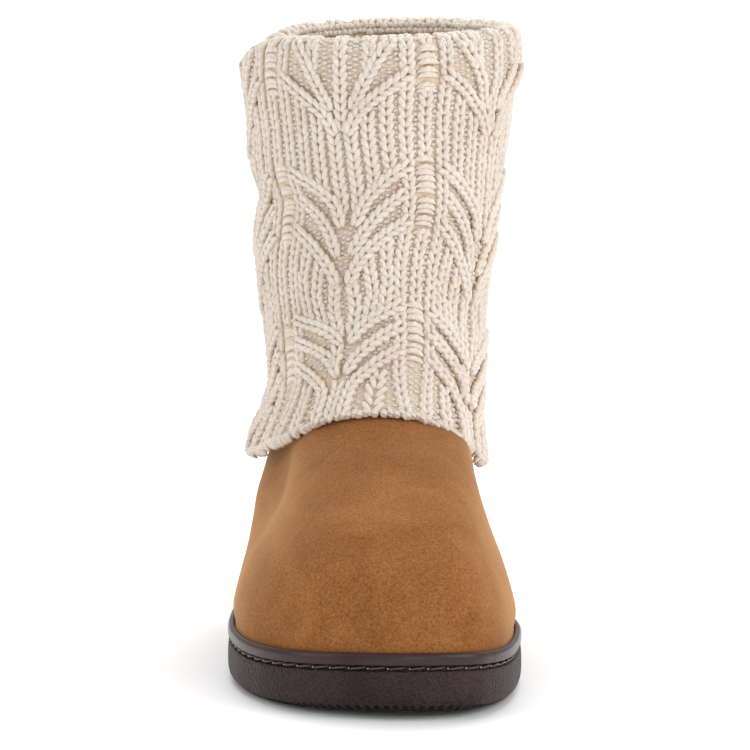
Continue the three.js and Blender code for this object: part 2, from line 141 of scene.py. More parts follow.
def sole_outline(columns):
    """x, y and outward normal of points round the sole: toe, inner side, heel, outer side.

    A closed centripetal Catmull-Rom curve runs through the stations. Between two of them it is a cubic
    whose end slopes weigh the chords by the square roots of their lengths. The points are evenly
    spaced by arc length on each side, from the toe to the heel.
    """
    back, outer, inner = SOLE_STATIONS.T
    inner_side = np.stack([inner * BALL_WIDTH, back * SOLE_LENGTH], 1)
    outer_side = np.stack([-outer * BALL_WIDTH, back * SOLE_LENGTH], 1)[::-1]
    toe, heel = [(TOE_APEX * BALL_WIDTH, 0)], [(HEEL_APEX * BALL_WIDTH, SOLE_LENGTH)]
    here = np.concatenate([toe, inner_side, heel, outer_side]) - (0, SOLE_LENGTH / 2)
    before, after, beyond = (np.roll(here, shift, 0) for shift in (1, -1, -2))
    gap = np.sqrt(np.linalg.norm(after - here, axis=1))[:, None]
    gap_before, gap_beyond = np.roll(gap, 1, 0), np.roll(gap, -1, 0)
    start = gap * ((here - before) / gap_before - (after - before) / (gap_before + gap)
                   + (after - here) / gap)
    end = gap * ((after - here) / gap - (beyond - here) / (gap + gap_beyond)
                 + (beyond - after) / gap_beyond)
    t = np.linspace(0, 1, 200, endpoint=False)[:, None, None]
    fine = (here + t * start + t**2 * (3 * (after - here) - 2 * start - end)
            + t**3 * (2 * (here - after) + start + end))
    fine = fine.transpose(1, 0, 2).reshape(-1, 2)
    fine = np.concatenate([fine, fine[:1]])
    along = np.concatenate([[0], np.cumsum(np.linalg.norm(np.diff(fine, axis=0), axis=1))])
    at_heel = along[200 * (len(inner_side) + 1)]
    half = columns // 2
    picks = np.concatenate([np.linspace(0, at_heel, half, endpoint=False),
                            np.linspace(at_heel, along[-1], half, endpoint=False)])
    x, y = (np.interp(picks, along, fine[:, axis]) for axis in (0, 1))
    tangent = np.stack([np.roll(x, -1) - np.roll(x, 1), np.roll(y, -1) - np.roll(y, 1)])
    tangent /= np.linalg.norm(tangent, axis=0)
    return x, y, tangent[1], -tangent[0]


def toe_lift(y):
    """Rise of the sole towards the toe: the square of the share of the last 62 mm."""
    last_part = SOLE_LENGTH / 2 - TOE_LIFT_START
    return TOE_SPRING * np.clip((-y - TOE_LIFT_START) / last_part, 0, None) ** 2


def sole_base(y):
    """Height of the tread: the toe's rise, a low arch and a small bevel at the heel."""
    arch = ARCH_RAISE * ease(y, -0.014, 0.014) * (1 - ease(y, 0.02, 0.046))
    last_part = SOLE_LENGTH / 2 - HEEL_LIFT_START
    return toe_lift(y) + arch + HEEL_BEVEL * np.clip((y - HEEL_LIFT_START) / last_part, 0, None) ** 2


def sole_top(y):
    """Height of the lip: 20 mm, higher at the toe and, in a smooth step, at the heel."""
    return SOLE_THICKNESS + toe_lift(y) + HEEL_RAISE * ease(y, -0.03, 0.095)


def closing_rows(edge, shares):
    """Rows of points that shrink an edge ring to the line midway between its two sides, which stops
    22 mm short of the toe and the heel."""
    twin = np.roll(edge[::-1], 1, axis=0)
    middle = (edge[:, :2] + twin[:, :2]) / 2
    toe, heel, end_gap = edge[0, 1], edge[len(edge) // 2, 1], 0.022
    middle[:, 1] = np.clip(middle[:, 1], toe + end_gap, heel - end_gap)
    return [edge[:, :2] + (middle - edge[:, :2]) * share for share in shares]


def ring_piece(name, rings, closed, finish):
    """A skin over rings of equal length. Quads join each ring to the next; a closed one joins the last
    ring to the first. Points that fall together are merged."""
    rows, columns = rings.shape[:2]
    ids = np.arange(rows * columns).reshape(rows, columns)
    lower = ids if closed else ids[:-1]
    upper = np.roll(ids, -1, 0) if closed else ids[1:]
    quads = np.stack([lower, np.roll(lower, -1, 1), np.roll(upper, -1, 1), upper], -1)
    mesh = bpy.data.meshes.new(name)
    mesh.from_pydata(rings.reshape(-1, 3).tolist(), [], quads.reshape(-1, 4).tolist())
    shape = bmesh.new()
    shape.from_mesh(mesh)
    bmesh.ops.remove_doubles(shape, verts=shape.verts, dist=1e-7)
    shape.to_mesh(mesh)
    shape.free()
    mesh.polygons.foreach_set("use_smooth", np.ones(len(mesh.polygons), bool))
    mesh.materials.append(finish)
    obj = bpy.data.objects.new(name, mesh)
    bpy.context.scene.collection.objects.link(obj)
    return obj


def noise(tree, place, values):
    """The value of a fractal noise in the piece's own space, with the inputs that values names."""
    texture = tree.nodes.new("ShaderNodeTexNoise")
    set_inputs(texture, values)
    tree.links.new(place.outputs["Object"], texture.inputs["Vector"])
    return texture.outputs["Fac"]


def map_range(tree, value, values):
    """A value brought linearly from one range, 0 to 1 unless values names another, to a new one."""
    node = tree.nodes.new("ShaderNodeMapRange")
    set_inputs(node, values)
    tree.links.new(value, node.inputs["Value"])
    return node.outputs["Result"]


def maths(tree, operation, *values):
    """The result of an operation on values, each of which is a number or a node's output."""
    node = tree.nodes.new("ShaderNodeMath")
    node.operation = operation
    for socket, value in zip(node.inputs, values):
        if isinstance(value, float):
            socket.default_value = value
        else:
            tree.links.new(value, socket)
    return node.outputs[0]


def two_tones(tree, value, first, first_at, last, last_at):
    """A colour that goes from the first to the last while the value goes from first_at to last_at."""
    ramp = tree.nodes.new("ShaderNodeValToRGB")
    stops = ramp.color_ramp.elements
    stops[0].color, stops[0].position = (*first, 1.0), first_at
    stops[1].color, stops[1].position = (*last, 1.0), last_at
    tree.links.new(value, ramp.inputs["Fac"])
    return ramp.outputs["Color"]


def relief(tree, shader, height, strength, distance, invert=False):
    """Fine relief of a surface: its normal leans by the slope of the height, up to the distance."""
    bump = tree.nodes.new("ShaderNodeBump")
    bump.invert = invert
    set_inputs(bump, {"Strength": strength, "Distance": distance})
    tree.links.new(height, bump.inputs["Height"])
    tree.links.new(bump.outputs["Normal"], shader.inputs["Normal"])


def sole_finish():
    """Dark brown rubber: a fine pebbled leather grain in the wall, with painted shade that darkens the
    creases between the pebbles, a faint bloom and a soft gloss. The lip is smooth and shinier: the mesh
    marks it with the attribute lip."""
    material, tree, shader = finish_nodes("brown_rubber")
    place = tree.nodes.new("ShaderNodeTexCoord")
    cells = tree.nodes.new("ShaderNodeTexVoronoi")
    cells.feature = "SMOOTH_F1"
    set_inputs(cells, {"Scale": 1050.0, "Smoothness": 0.5})
    tree.links.new(place.outputs["Object"], cells.inputs["Vector"])
    lip = tree.nodes.new("ShaderNodeAttribute")
    lip.attribute_name = "lip"
    wall = map_range(tree, lip.outputs["Fac"], {"To Min": 1.0, "To Max": 0.0})
    pebbles = maths(tree, "MULTIPLY", cells.outputs["Distance"], wall)
    bloom = noise(tree, place, {"Scale": 45.0, "Detail": 5.0})
    # Painted shade: the crease depth darkens the tone between the pebbles, over the bloom's random
    # patches.
    tone = maths(tree, "MULTIPLY_ADD", pebbles, -0.55, bloom)
    browns = two_tones(tree, tone, (0.012, 0.006, 0.0065), 0.05, (0.043, 0.025, 0.0255), 0.6)
    tree.links.new(browns, shader.inputs["Base Color"])
    relief(tree, shader, pebbles, 1.0, 0.0006, invert=True)
    gloss = map_range(tree, lip.outputs["Fac"], {"To Min": 0.5, "To Max": 0.3})
    tree.links.new(gloss, shader.inputs["Roughness"])
    set_inputs(shader, {"Specular IOR Level": 0.25, "Specular Tint": (1.0, 0.78, 0.74, 1.0)})
    return material


x, y, nx, ny = sole_outline(SOLE_COLUMNS)
walk = np.cumsum(np.hypot(x - np.roll(x, 1), y - np.roll(y, 1)))
tooth = ease(np.abs((walk / TOOTH_PITCH) % 1 - 0.5), 0.12, 0.3)


def sole_row(inset, height):
    """A ring at a distance inside the outline, at a height that may vary round it."""
    return np.stack([x - nx * inset, y - ny * inset, height], 1)


# Side wall: its foot is rounded by a fifth power, and the teeth are notched into its lowest part
wall_share = np.concatenate([[0, 0.004], np.linspace(0.012, 0.3, 9), np.linspace(0.36, 0.97, 9)])
wall_rows = []
for share in wall_share:
    inset = EDGE_ROUNDING * (1 - min(share / EDGE_SHARE, 1)) ** 5
    inset += 0.00035 * max(0, (share - EDGE_SHARE) / (1 - EDGE_SHARE)) ** 2
    height = sole_base(y) + (sole_top(y) - CHANNEL_FLOOR - sole_base(y)) * share
    notch = TOOTH_HEIGHT * (1 - ease(share, 0.02, 0.13)) * (1 - tooth)
    wall_rows.append(sole_row(inset + TOOTH_SLOPE * notch, height + notch))
# Inset and drop below the lip's top, in millimetres: channel, then the round lip, then the cup's wall
lip_rows = [
    (0.38, 6.55), (0.5, 6.32), (0.9, 6.22), (1.5, 6.12), (1.7, 5.9), (1.7, 4.8), (1.55, 4.5), (0.8, 4.36),
    (0.42, 4.28), (0.2, 4.1), (0.05, 3.7), (0, 3.0), (0, 2.2), (0.05, 1.6), (0.2, 1.05), (0.45, 0.6),
    (0.8, 0.27), (1.2, 0.07), (1.6, 0.0), (2.0, 0.08), (2.25, 0.25), (2.4, 0.55), (2.4, 1.4), (2.4, 2.6),
    (2.4, 4.0),
]
rim_rows = [sole_row(inset * 1e-3, sole_top(y) - drop * 1e-3) for inset, drop in lip_rows]
# Tread: it closes on the middle line. Grooves with eased sides cross it and end short of its edge
tread_rows = []
for flat in closing_rows(wall_rows[0], np.linspace(1, 0.03, 34)):
    groove = np.zeros(len(flat))
    for first, pitch, count in GROOVE_FIELDS:
        nearest = np.clip(np.round((flat[:, 1] - first) / pitch), 0, count - 1) * pitch + first
        groove = np.maximum(groove, 1 - ease(np.abs(flat[:, 1] - nearest), 0.0009, 0.0016))
    edge_gap = np.hypot(flat[:, 0] - wall_rows[0][:, 0], flat[:, 1] - wall_rows[0][:, 1])
    groove = groove * ease(edge_gap, GROOVE_BORDER - 0.004, GROOVE_BORDER - 0.003)
    tread_rows.append(np.column_stack([flat, sole_base(flat[:, 1]) + GROOVE_DEPTH * groove]))
cup_rows = [
    np.column_stack([flat, sole_top(flat[:, 1]) - CUP_DEPTH])
    for flat in closing_rows(rim_rows[-1], (0.3, 0.65, 1))
]
sole_rings = np.stack(tread_rows + wall_rows + rim_rows + cup_rows)
outsole = ring_piece("outsole_moulding", sole_rings, False, sole_finish())
# The mark is 1 on the lip and 0 below it, over a tenth of a millimetre
corner = np.empty(3 * len(outsole.data.vertices))
outsole.data.vertices.foreach_get("co", corner)
corner = corner.reshape(-1, 3)
above = (corner[:, 2] - sole_top(corner[:, 1]) + LIP_HEIGHT) * 1e4
lip_mark = outsole.data.attributes.new("lip", "FLOAT", "POINT")
lip_mark.data.foreach_set("value", np.clip(above, 0, 1))
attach(outsole, "root")
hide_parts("outsole")

# Sole stitching: waxed brown thread, lockstitched through the channel into the suede. Each visible
# stitch is a short float that dips into a hole at both ends.
SOLE_STITCHES = 86
STITCH_REACH, THREAD_RADIUS = 0.0066, 0.00050


def tube_piece(name, centres, sideways, outwards, radii, faces_round, finish):
    """Many short closed yarns in one mesh.

    centres is (yarns, rings, 3). A ring's points lie round its centre, at radius * cos of the angle
    sideways plus radius * sin of it outwards, and the two ends are closed by a flat face. The UV map
    holds the way round in u and the way along in v.
    """
    yarns, rings = centres.shape[:2]
    angle = np.arange(faces_round) * 2 * math.pi / faces_round
    radii = np.broadcast_to(radii, (yarns, rings))[..., None, None]
    points = (centres[:, :, None] + radii * np.cos(angle)[:, None] * sideways[:, :, None]
              + radii * np.sin(angle)[:, None] * outwards[:, :, None])
    ids = np.arange(points[..., 0].size).reshape(yarns, rings, faces_round)
    turned = np.roll(ids, -1, 2)
    quads = np.stack([ids[:, :-1], turned[:, :-1], turned[:, 1:], ids[:, 1:]], -1).reshape(-1, 4)
    caps = np.concatenate([ids[:, 0, ::-1], ids[:, -1]])
    mesh = bpy.data.meshes.new(name)
    mesh.vertices.add(ids.size)
    mesh.vertices.foreach_set("co", points.ravel())
    corners = np.concatenate([quads.ravel(), caps.ravel()])
    sizes = np.concatenate([np.full(len(quads), 4), np.full(len(caps), faces_round)])
    mesh.loops.add(len(corners))
    mesh.loops.foreach_set("vertex_index", corners)
    mesh.polygons.add(len(sizes))
    mesh.polygons.foreach_set("loop_start", np.concatenate([[0], np.cumsum(sizes)[:-1]]))
    mesh.polygons.foreach_set("use_smooth", np.ones(len(sizes), bool))
    uv = mesh.uv_layers.new(name="yarn")
    around = (corners % faces_round) / faces_round
    seam = np.zeros(len(corners))
    seam[: quads.size] = np.repeat((quads[:, 0] % faces_round) == faces_round - 1, 4)
    seam *= np.where(around == 0, 1, 0)
    length = (corners // faces_round) % rings / (rings - 1)
    uv.data.foreach_set("uv", np.stack([around + seam, length], 1).ravel())
    mesh.update(calc_edges=True)
    mesh.materials.append(finish)
    obj = bpy.data.objects.new(name, mesh)
    bpy.context.scene.collection.objects.link(obj)
    return obj


def thread_finish():
    """Waxed brown thread: two twisted plies, drawn as painted highlight and shade in bands along the
    twist.
    """
    material, tree, shader = finish_nodes("brown_thread")
    place = tree.nodes.new("ShaderNodeUVMap")
    place.uv_map = "yarn"
    twist = tree.nodes.new("ShaderNodeTexWave")
    twist.bands_direction = "DIAGONAL"
    twist.inputs["Scale"].default_value = 2.6
    tree.links.new(place.outputs["UV"], twist.inputs["Vector"])
    # Painted highlight and shade: the twist's bands make the thread lighter and darker along each ply.
    tones = two_tones(tree, twist.outputs["Fac"], (0.024, 0.014, 0.012), 0.0, (0.056, 0.036, 0.031), 1.0)
    tree.links.new(tones, shader.inputs["Base Color"])
    shader.inputs["Roughness"].default_value = 0.4
    return material


stitch_t = np.array([0.0, 0.07, 0.2, 0.5, 0.8, 0.93, 1.0])
starts = np.arange(SOLE_STITCHES) * walk[-1] / SOLE_STITCHES
spots = (starts[:, None] + STITCH_REACH * stitch_t) % walk[-1]
stitch_x, stitch_y, stitch_nx, stitch_ny = (np.interp(spots, walk, part) for part in (x, y, nx, ny))
sunk = 0.0010 + 0.0010 * (np.abs(2 * stitch_t - 1) ** 6)
middle = np.stack([
    stitch_x - stitch_nx * sunk, stitch_y - stitch_ny * sunk,
    sole_top(stitch_y) - LIP_HEIGHT - CHANNEL_HEIGHT / 2 + 0.0004 * (2 * stitch_t - 1),
], -1)
upright = np.broadcast_to([0.0, 0.0, 1.0], middle.shape)
outward = np.stack([stitch_nx, stitch_ny, np.zeros_like(stitch_nx)], -1)
thread_radii = THREAD_RADIUS * (0.6 + 0.4 * np.sin(math.pi * stitch_t) ** 0.4)
sole_stitches = tube_piece("sole_stitches", middle, upright, outward, thread_radii, 6, thread_finish())
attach(sole_stitches, "root")

# Painted glints of the stitching: a small pale knot in each hole of the channel, where the brown thread
# dips in, stands in for the light that glints there.
LOCK_PLACE, GLINT_RADIUS = 0.0073, 0.00030
glint_knot_finish, _, glint_knot_shader = finish_nodes("painted_glint")
# The pale colour is a painted highlight: the glint at each stitch hole.
set_inputs(glint_knot_shader, {"Base Color": (0.42, 0.34, 0.28, 1.0), "Roughness": 0.7})
lock_t = np.array([-1.0, -0.6, 0.0, 0.6, 1.0])
lock_at = (starts + LOCK_PLACE) % walk[-1]
lock_x, lock_y, lock_nx, lock_ny = (np.interp(lock_at, walk, part) for part in (x, y, nx, ny))
lock_way = np.stack([lock_nx, lock_ny, np.full_like(lock_nx, -0.25)], -1)
lock_centre = np.stack([lock_x - lock_nx * 0.0012, lock_y - lock_ny * 0.0012,
                        sole_top(lock_y) - LIP_HEIGHT - CHANNEL_HEIGHT * 0.55], -1)
lock_rings = lock_centre[:, None] + lock_way[:, None] * 0.0004 * lock_t[:, None]
lock_side = np.broadcast_to(np.stack([-lock_ny, lock_nx, 0 * lock_nx], -1)[:, None], lock_rings.shape)
lock_upright = np.broadcast_to([0.0, 0.0, 1.0], lock_rings.shape)
painted_glint_knots = tube_piece("painted_glint_knots", lock_rings, lock_side, lock_upright,
                        GLINT_RADIUS * np.sqrt(1.04 - lock_t**2), 6, glint_knot_finish)
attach(painted_glint_knots, "root")

# Footbed: moulded foam faced with cream pile fabric, lying loose on the floor of the cup inside the
# suede. It is a little dished, with a rounded edge.
SUEDE_WALL = 0.0026
FOOTBED_COLUMNS = 352


def pile_finish(name, dark, light):
    """Short cream pile: tufts a millimetre or two across, matt, with a soft sheen at the edges."""
    material, tree, shader = finish_nodes(name)
    place = tree.nodes.new("ShaderNodeTexCoord")
    tufts = noise(tree, place, {"Scale": 420.0, "Detail": 6.0, "Roughness": 0.7})
    creams = two_tones(tree, tufts, dark, 0.34, light, 0.62)
    tree.links.new(creams, shader.inputs["Base Color"])
    relief(tree, shader, tufts, 0.8, 0.0012)
    set_inputs(shader, {"Roughness": 0.95, "Specular IOR Level": 0.2})
    set_inputs(shader, {"Sheen Weight": 0.4, "Sheen Roughness": 0.5})
    return material


fleece = pile_finish("cream_fleece", (0.55, 0.46, 0.35), (0.86, 0.79, 0.68))
bed_x, bed_y, bed_nx, bed_ny = sole_outline(FOOTBED_COLUMNS)
bed_inset = LIP_WIDTH + GAP + SUEDE_WALL + 1.5 * GAP
bed_floor = sole_top(bed_y) - CUP_DEPTH + GAP
# Extra inset and rise over the cup's floor, in millimetres
bed_rows = []
for extra, rise in ((0.5, 0), (0.15, 0.3), (0, 0.8), (0, 3.6), (0.12, 4.5), (0.5, 5.1), (1.2, 5.4)):
    inset = bed_inset + extra * 1e-3
    bed_rows.append(np.stack([bed_x - bed_nx * inset, bed_y - bed_ny * inset, bed_floor + rise * 1e-3], 1))
under = [np.column_stack([flat, sole_top(flat[:, 1]) - CUP_DEPTH + GAP])
         for flat in closing_rows(bed_rows[0], (1, 0.5))]
over = []
for share in np.linspace(0.04, 1, 26):
    flat = closing_rows(bed_rows[-1], (share,))[0]
    dish = 0.0054 - 0.0010 * ease(share, 0, 0.6)
    waves = 0.00022 * np.sin(flat[:, 0] * 420 + 2 * np.sin(flat[:, 1] * 190)) * np.sin(flat[:, 1] * 380)
    bed_height = sole_top(flat[:, 1]) - CUP_DEPTH + GAP + dish + waves * ease(share, 0, 0.3)
    over.append(np.column_stack([flat, bed_height]))
footbed = ring_piece("footbed", np.stack(under + bed_rows + over), False, fleece)
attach(footbed, "root")
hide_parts("insole")

# Foot of the boot: tan microfibre suede, lasted to a round toe and heel and sewn into the channel of
# the sole. It is plain in front, with one closed seam up the heel, and the knit covers its top edge.
FOOT_COLUMNS = 440
FOOT_STEPS = 12
# The first rings: rise over the lip's top and inset from the sole's outline, in metres
FOOT_START = ((-0.00365, 0.00275), (0.0003, 0.00265), (0.007, 0.0021))
# Ends of each ring on the middle line (y, z at the toe side, y, z at the heel), the shares of the
# sole's width kept at the ball (outer, inner) and the heel (outer, inner), and the turn to the leg's oval
FOOT_RINGS = np.array([
    (-127.5, 41, 129.3, 44, 0.88, 0.86, 0.985, 0.96, 0),
    (-120, 52.5, 127.5, 53, 0.765, 0.78, 1, 0.955, 0.05),
    (-103, 62, 125, 60, 0.68, 0.73, 0.99, 0.945, 0.16),
    (-79, 69.5, 122.5, 67, 0.635, 0.705, 0.99, 0.93, 0.32),
    (-52, 76.5, 120, 74, 0.61, 0.685, 0.96, 0.92, 0.52),
    (-26, 83, 117.5, 81, 0.61, 0.675, 0.9, 0.91, 0.74),
    (-5, 90.5, 115, 88, 0.61, 0.675, 0.84, 0.9, 0.92),
    (7.5, 99, 112.5, 95, 0.61, 0.675, 0.8, 0.9, 1),
    (12, 107, 111.5, 103, 0.61, 0.675, 0.8, 0.9, 1),
])
LEG_INNER, LEG_OUTER = 0.034, 0.0325
SUEDE_THICKNESS = 0.0015


def foot_rings(columns):
    """The outer face of the foot: rings from the cup to the ankle.

    A ring's point lies between the sole's outline, narrowed about the middle line, and the leg's
    oval. Its y and z run evenly from the ring's front end to its back end. Between the rings, each
    column is a Catmull-Rom curve over the mean distance from ring to ring.
    """
    x, y, nx, ny = sole_outline(columns)
    turn = 2 * math.pi * np.arange(columns) / columns
    rings = [np.stack([x - nx * inset, y - ny * inset, sole_top(y) + rise], 1)
             for rise, inset in FOOT_START]
    along_foot = (y - y[0]) / (y[columns // 2] - y[0])
    middle_x = x[0] + (x[columns // 2] - x[0]) * along_foot
    oval_x = np.where(np.sin(turn) > 0, LEG_INNER, LEG_OUTER) * np.sin(turn)
    for front, front_z, back, back_z, ball_out, ball_in, heel_out, heel_in, leg in FOOT_RINGS:
        ball, heel = np.where(x > 0, ball_in, ball_out), np.where(x > 0, heel_in, heel_out)
        kept = ball + (heel - ball) * ease(along_foot, 0.35, 0.7)
        foot_x = middle_x + (x - middle_x) * kept
        along = along_foot + ((1 - np.cos(turn)) / 2 - along_foot) * leg
        rings.append(np.stack([
            foot_x + (oval_x - foot_x) * leg,
            (front + (back - front) * along) * 1e-3,
            (front_z + (back_z - front_z) * along) * 1e-3,
        ], 1))
    rings = np.stack(rings)
    step = np.linalg.norm(np.diff(rings, axis=0), axis=2).mean(1)
    place = np.concatenate([[0], np.cumsum(step)])
    slope = np.empty_like(rings)
    slope[1:-1] = (rings[2:] - rings[:-2]) / (place[2:] - place[:-2])[:, None, None]
    slope[0] = (rings[1] - rings[0]) / step[0]
    slope[-1] = (rings[-1] - rings[-2]) / step[-1]
    slope[1] = slope[0]
    t = np.linspace(0, 1, FOOT_STEPS, endpoint=False)[:, None, None, None]
    reach = step[:, None, None]
    fine = ((2 * t**3 - 3 * t**2 + 1) * rings[:-1] + (t**3 - 2 * t**2 + t) * reach * slope[:-1]
            + (3 * t**2 - 2 * t**3) * rings[1:] + (t**3 - t**2) * reach * slope[1:])
    fine = fine.transpose(1, 0, 2, 3).reshape(-1, columns, 3)
    return np.concatenate([fine, rings[-1:]])


def surface_normals(rings):
    """Outward unit normals of a grid of rings, from the differences along and across it."""
    across = np.roll(rings, -1, 1) - np.roll(rings, 1, 1)
    upwards = np.gradient(rings, axis=0)
    normal = np.cross(across, upwards)
    return normal / np.linalg.norm(normal, axis=2, keepdims=True)


def mixed_colour(tree, blend, share, under, over):
    """One colour laid over another: the blend names how, and the share how strongly."""
    mix = tree.nodes.new("ShaderNodeMix")
    mix.data_type = "RGBA"
    mix.blend_type = blend
    mix.inputs["Factor"].default_value = share
    tree.links.new(under, mix.inputs["A"])
    tree.links.new(over, mix.inputs["B"])
    return mix.outputs["Result"]


def suede_finish():
    """Tan microfibre suede: a brushed nap whose tone drifts in soft patches, with fine fibres."""
    material, tree, shader = finish_nodes("tan_suede")
    place = tree.nodes.new("ShaderNodeTexCoord")
    drift = noise(tree, place, {"Scale": 40.0, "Detail": 5.0, "Roughness": 0.55, "Distortion": 0.8})
    fibre = noise(tree, place, {"Scale": 1150.0, "Detail": 2.0, "Roughness": 0.78})
    tans = two_tones(tree, drift, (0.202, 0.076, 0.0208), 0.3, (0.288, 0.115, 0.036), 0.7)
    contrast = map_range(tree, fibre, {"From Min": 0.25, "From Max": 0.75})
    speckle = mixed_colour(tree, "SOFT_LIGHT", 0.58, tans, contrast)
    tree.links.new(speckle, shader.inputs["Base Color"])
    relief(tree, shader, fibre, 0.25, 0.0003)
    set_inputs(shader, {"Roughness": 0.95, "Specular IOR Level": 0.15, "Sheen Weight": 0.6})
    set_inputs(shader, {"Sheen Roughness": 0.3, "Sheen Tint": (1.0, 0.63, 0.33, 1.0)})
    return material


suede_outer = foot_rings(FOOT_COLUMNS)
normals = surface_normals(suede_outer)
foot_turn = 2 * math.pi * np.arange(FOOT_COLUMNS) / FOOT_COLUMNS
rows_up = np.linspace(0, 1, len(suede_outer))[:, None]
off_heel = np.abs(foot_turn - math.pi)
# The seam is a groove between two low ridges, which are bell curves over the turn
seam_groove = -0.0007 * np.exp(-((off_heel / 0.012) ** 2))
seam_ridge = 0.0004 * np.exp(-(((off_heel - 0.04) / 0.02) ** 2))
heel_seam = (seam_groove + seam_ridge) * ease(rows_up, 0.14, 0.2) * np.ones((len(suede_outer), 1))
suede_outer = suede_outer + normals * heel_seam[..., None]
suede_inner = suede_outer - normals * SUEDE_THICKNESS
suede_skin = np.concatenate([suede_outer, suede_inner[::-6]])
suede_foot = ring_piece("suede_foot", suede_skin, True, suede_finish())
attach(suede_foot, "root")
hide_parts("upper")

# Lining of the foot: cream pile fabric with a woven back, glued inside the suede from the footbed to
# the ankle. Its face is uneven by a third of a millimetre, as crossed waves.
LINING_COLUMNS, LINING_BACK, LINING_FACE = 220, 0.0016, 0.0031
lining_face = foot_rings(LINING_COLUMNS)
lining_normals = surface_normals(lining_face)
lining_x, lining_y, lining_z = np.moveaxis(lining_face, -1, 0)
pile = 0.00035 * np.sin(lining_x * 900) * np.sin(lining_y * 850 + lining_z * 700)
lining_first = 2 * FOOT_STEPS
lining_out = (lining_face - lining_normals * LINING_BACK)[lining_first:]
lining_in = (lining_face - lining_normals * (LINING_FACE + pile[..., None]))[lining_first:]
lining = ring_piece("fleece_lining", np.concatenate([lining_out[::6], lining_in[::-2]]), True, fleece)
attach(lining, "root")

# Ground of the shaft: a tube of cream wool knit whose top is folded in. Only its recessed purl side
# shows, between the knitted ropes.
KNIT_WALL, FOLD_RADIUS = 0.005, 0.00475
COURSES, FOLD_COURSES, COURSE = 48.0, 2.6, 0.0029
GROUND_DEPTH, HEM_THINNING, GROUND_COLUMNS = 0.0013, 0.0016, 260
# Courses where the folded part ends inside and where the bare back of the wall starts below it
FOLD_END, BACK_START = -13.0, 14.6
HEM_SIDE, HEM_FRONT_RISE, HEM_BACK_RISE, HEM_INNER_SAG = 0.062, 0.0275, 0.007, 0.0036
RIM_TOP, RIM_TILT, RIM_DIP = 0.2260, 0.0028, 0.0095
ANKLE_Y = 0.062
# Height, then the reach from the ankle's middle to its outer, inner, front and back side, in mm
SHAFT_SECTIONS = np.array([
    (62, 47, 41.5, 78, 68), (68, 47.5, 41.8, 77, 67), (74, 46, 41.4, 76, 64),
    (82, 42.4, 40.5, 74, 60.5), (90, 39.6, 40.2, 74, 58), (98, 39, 40.8, 68.5, 56.5),
    (108, 40.8, 41.5, 62.5, 55.5), (122, 42, 41.8, 57, 55.5), (140, 44.2, 43.9, 54.5, 57),
    (155, 43.6, 46, 53, 58), (163, 43, 46.8, 52, 58), (173, 46, 47.9, 52.5, 58.5),
    (188, 46.8, 50.3, 53, 59), (200, 48.7, 51.6, 53.6, 59.4), (210, 50, 54.4, 54.6, 60.4),
    (220, 49.4, 54.2, 54.6, 60.4), (230, 48.6, 53.2, 54, 60),
]) * 1e-3


def hem_height(turn):
    """Height of the hem: low at the sides, swept up over the instep and a little at the back, by powers
    of half a cosine. The fourth power of a sine lowers the inner side."""
    to_front = (1 + np.cos(turn)) / 2
    inner_sag = HEM_INNER_SAG * np.clip(np.sin(turn + 0.05), 0, 1) ** 4
    return HEM_SIDE + HEM_FRONT_RISE * to_front**3.4 + HEM_BACK_RISE * (1 - to_front) ** 2 - inner_sag


def rim_height(turn):
    """Height of the folded rim: tilted down from a high place at the inner front, less a short dip at
    the outer side, which is the 16th power of half a cosine."""
    to_high = (1 + np.cos(turn - math.radians(60))) / 2
    to_dip = (1 + np.cos(turn + math.radians(95))) / 2
    return RIM_TOP - RIM_TILT * (1 - to_high) - RIM_DIP * to_dip**16


def shaft_reach(z, column):
    """A smooth value between the rows of the sections: cubic, with slopes from the rows either side."""
    at, value = SHAFT_SECTIONS[:, 0], SHAFT_SECTIONS[:, column]
    slope = np.gradient(value, at)
    slope[1:-1] = (value[2:] - value[:-2]) / (at[2:] - at[:-2])
    row = np.clip(np.searchsorted(at, z) - 1, 0, len(at) - 2)
    rise = at[row + 1] - at[row]
    t = np.clip((z - at[row]) / rise, 0, 1)
    return ((2 * t**3 - 3 * t**2 + 1) * value[row] + (t**3 - 2 * t**2 + t) * rise * slope[row]
            + (3 * t**2 - 2 * t**3) * value[row + 1] + (t**3 - t**2) * rise * slope[row + 1])


def fabric(turn, course, depth=0.0):
    """A point of the knit, at a turn round the leg and a course counted down from the top of the fold.

    Up to the fold the wall is upright and the depth is level. Round the fold the point goes round a
    half circle of the fold's radius less the depth. Past it, negative courses run down the inside. The
    plan is an oval with its own reach to each side, squarer at the front of the hem.
    """
    turn, course, depth = np.broadcast_arrays(turn, course, depth)
    rim, hem = rim_height(turn), hem_height(turn)
    below = np.clip((course - FOLD_COURSES) / (COURSES - FOLD_COURSES), 0, None)
    angle = math.pi / 2 * np.clip(1 - course / FOLD_COURSES, 0, 2)
    inside = np.clip(-course - FOLD_COURSES, 0, None) * COURSE
    fold_middle = rim - FOLD_RADIUS
    z = fold_middle + (FOLD_RADIUS - depth) * np.sin(angle) - below * (fold_middle - hem) - inside
    inset = FOLD_RADIUS - (FOLD_RADIUS - depth) * np.cos(angle)
    sine, cosine = np.sin(turn), np.cos(turn)
    side = np.where(sine > 0, shaft_reach(z, 2), shaft_reach(z, 1)) - inset
    end = np.where(cosine > 0, shaft_reach(z, 3), shaft_reach(z, 4)) - inset
    square = np.where(cosine > 0, 0.68 + 0.32 * ease(z, 0.078, 0.112), 1.0)
    return np.stack([
        side * np.sign(sine) * np.abs(sine) ** square,
        ANKLE_Y - end * np.sign(cosine) * np.abs(cosine) ** square, z,
    ], -1)


